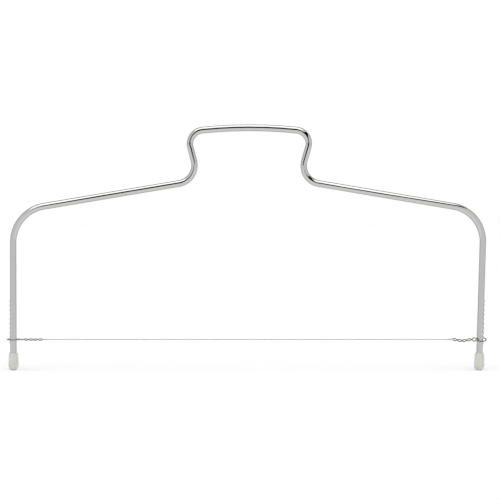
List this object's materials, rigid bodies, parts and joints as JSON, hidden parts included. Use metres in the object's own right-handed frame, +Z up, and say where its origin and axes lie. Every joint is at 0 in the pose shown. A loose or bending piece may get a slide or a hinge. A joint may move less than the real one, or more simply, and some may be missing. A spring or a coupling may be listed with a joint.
{
  "type": "cake leveler",
  "caption": "Springy bent steel rod frame with a raised handle, notched legs with soft foot tips, and a taut cutting wire that hooks level across the legs.",
  "frame": {"origin": "on the table, midway between the two feet, in the plane of the frame", "axes": "+Z up from the feet to the handle, +X along the cutting wire, -Y towards the viewer"},
  "size_m": [0.3078, 0.0068, 0.1573],
  "materials": {
    "chromed_rod": "bright plated",
    "vinyl_tip": "milky, slightly see-through",
    "wire_steel": "drawn wire"
  },
  "bodies": {
    "frame": {"bent_frame": "chromed_rod", "left_foot_tip": "vinyl_tip", "right_foot_tip": "vinyl_tip"},
    "wire": {"left_wire_end": "wire_steel", "wire_span": "wire_steel", "right_wire_end": "wire_steel"}
  },
  "joints": [
    {"name": "wire_height", "type": "slide", "parent": "frame", "child": "wire", "axis": [0, 0, 1], "range_m": [0, 0.0232]}
  ]
}
